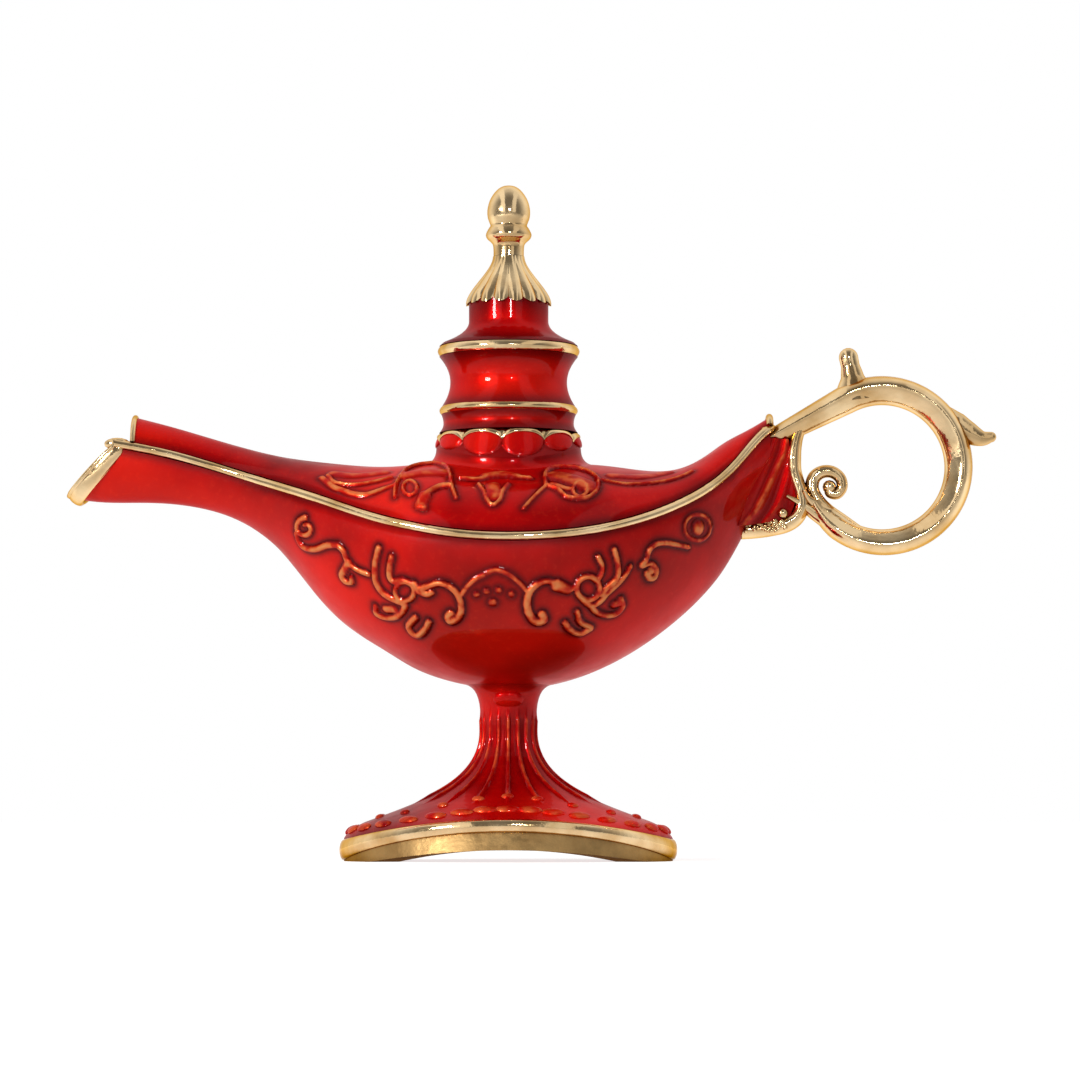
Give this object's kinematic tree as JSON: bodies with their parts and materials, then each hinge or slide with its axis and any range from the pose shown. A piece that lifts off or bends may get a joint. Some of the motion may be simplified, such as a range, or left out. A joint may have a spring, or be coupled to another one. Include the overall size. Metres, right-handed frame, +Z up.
{
  "type": "genie oil lamp",
  "caption": "Boat-shaped oil lamp on a flared foot, red enamel with gold trim, with a covered spout and wick, a lift-off tiered lid with a finial, and a loop handle.",
  "frame": {"origin": "on the surface that the lamp stands on, under the middle of its length and depth", "axes": "+X from the spout to the handle, +Y to the back as seen in the picture, +Z up"},
  "size_m": [0.1588, 0.0574, 0.1151],
  "materials": {
    "red_enamel": "glossy enamel",
    "polished_gold": "polished",
    "matt_gold": "matt",
    "raw_brass": "satin",
    "steel": "satin",
    "cotton": "matt"
  },
  "bodies": {
    "lamp_body": {"foot_pedestal": "red_enamel", "bowl": "red_enamel", "cover": "red_enamel", "neck_collar": "red_enamel", "handle_web": "red_enamel", "foot_rim": "polished_gold", "rim_band": "polished_gold", "spout_lip": "polished_gold", "collar_edge": "polished_gold", "handle_loop": "polished_gold", "handle_scroll": "polished_gold", "thumb_spur": "polished_gold", "tail_spur": "polished_gold", "handle_bracket": "polished_gold", "handle_rivet": "polished_gold", "foot_base": "matt_gold", "wick_tube": "raw_brass", "wick_plate": "raw_brass", "stem_bolt": "steel", "stem_washers": "steel", "stem_nut": "steel"},
    "lifting_lid": {"lid_plug": "raw_brass", "lid_base": "red_enamel", "lid_lower_ring": "polished_gold", "lid_drum": "red_enamel", "lid_upper_ring": "polished_gold", "lid_crown": "red_enamel", "finial_skirt": "polished_gold", "finial_knob": "polished_gold", "lid_stud": "raw_brass", "lid_nut": "raw_brass"},
    "feeding_wick": {"wick": "cotton"}
  },
  "joints": [
    {"name": "lid_lift", "type": "slide", "parent": "lamp_body", "child": "lifting_lid", "axis": [0, 0, 1], "range_m": [0, 0.04]},
    {"name": "wick_feed", "type": "slide", "parent": "lamp_body", "child": "feeding_wick", "axis": [-0.9781, 0, 0.2079], "range_m": [-0.003, 0.008]}
  ]
}
